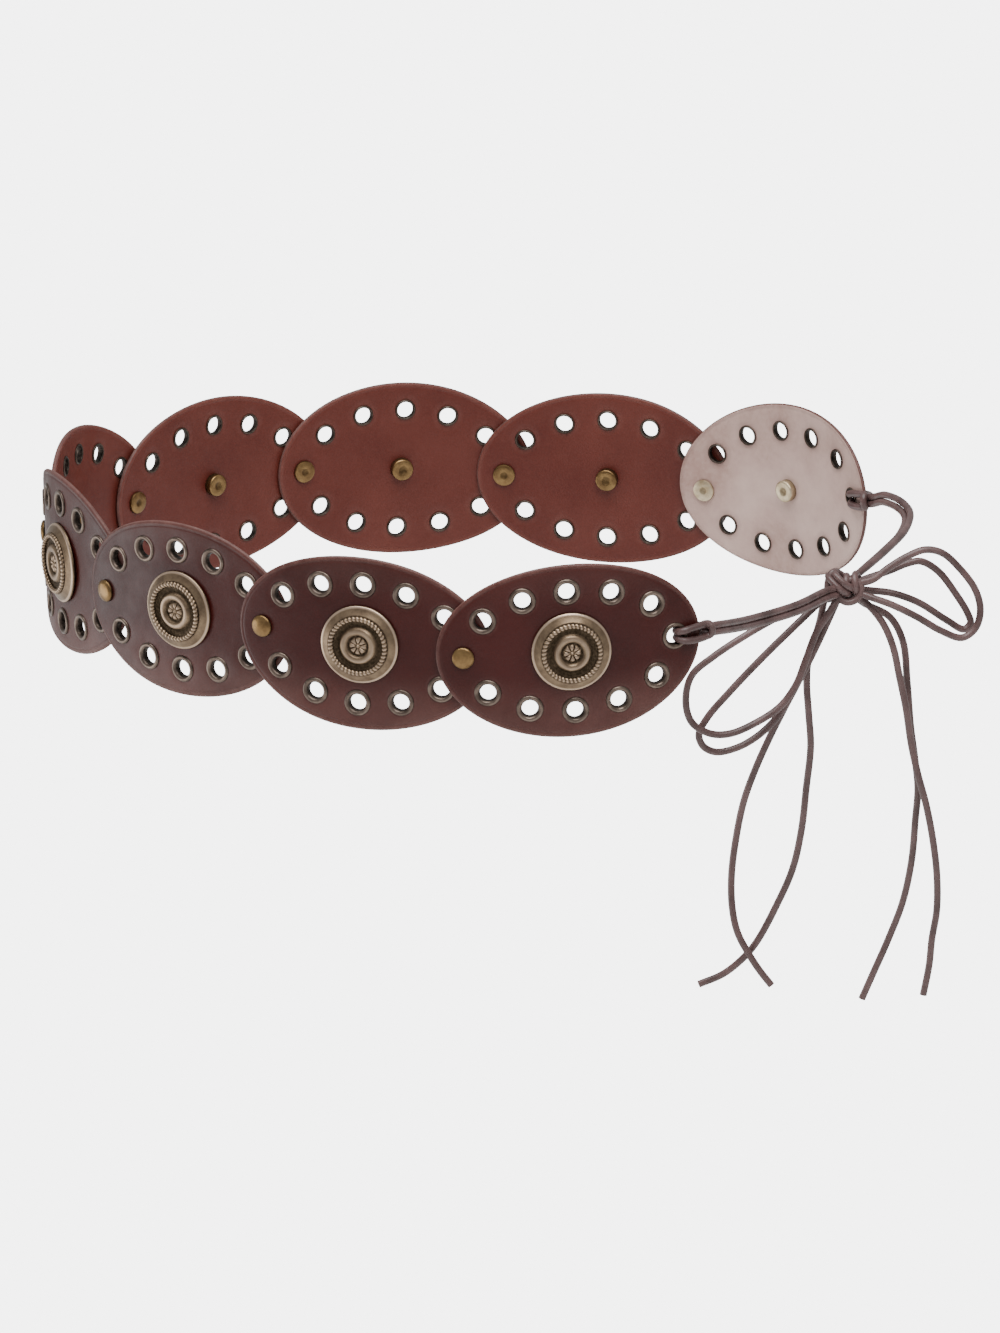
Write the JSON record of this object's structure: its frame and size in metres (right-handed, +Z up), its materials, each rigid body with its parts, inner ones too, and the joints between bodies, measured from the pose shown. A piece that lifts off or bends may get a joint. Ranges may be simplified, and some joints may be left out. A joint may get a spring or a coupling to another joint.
{
  "type": "concho belt",
  "caption": "Belt of oval leather discs riveted end over end round an open waist, each with a domed concho and a ring of eyelet holes, closed by a doubled cord tied in a bow.",
  "frame": {"origin": "middle of the open waist, at the mean height of the rivets that link the discs", "axes": "+Z up the waist, +X to the side where the bow is tied, -Y to the front of the picture's view"},
  "size_m": [0.4201, 0.3611, 0.2542],
  "materials": {
    "leather": "satin oxblood brown",
    "concho": "antique",
    "rivet": "satin",
    "cord": "matt mauve brown"
  },
  "bodies": {
    "root": {"disc_1": "leather", "concho_1": "concho", "concho_cap_1": "rivet", "link_rivet_1": "rivet", "disc_2": "leather", "concho_2": "concho", "concho_cap_2": "rivet", "link_rivet_2": "rivet", "disc_3": "leather", "concho_3": "concho", "concho_cap_3": "rivet", "link_rivet_3": "rivet", "disc_4": "leather", "concho_4": "concho", "concho_cap_4": "rivet", "link_rivet_4": "rivet", "disc_5": "leather", "concho_5": "concho", "concho_cap_5": "rivet", "link_rivet_5": "rivet", "disc_6": "leather", "concho_6": "concho", "concho_cap_6": "rivet", "link_rivet_6": "rivet", "disc_7": "leather", "concho_7": "concho", "concho_cap_7": "rivet", "link_rivet_7": "rivet", "disc_8": "leather", "concho_8": "concho", "concho_cap_8": "rivet", "link_rivet_8": "rivet", "disc_9": "leather", "concho_9": "concho", "concho_cap_9": "rivet", "tie_hitch_front": "cord", "tie_hitch_back": "cord", "bow_knot": "cord", "tie_front_upper": "cord", "tie_front_lower": "cord", "tie_back_upper": "cord", "tie_back_lower": "cord", "bow_loop_front_outer": "cord", "bow_loop_front_inner": "cord", "bow_loop_back_outer": "cord", "bow_loop_back_inner": "cord", "tie_tail_front_1": "cord", "tie_tail_front_2": "cord", "tie_tail_back_1": "cord", "tie_tail_back_2": "cord"}
  },
  "joints": []
}
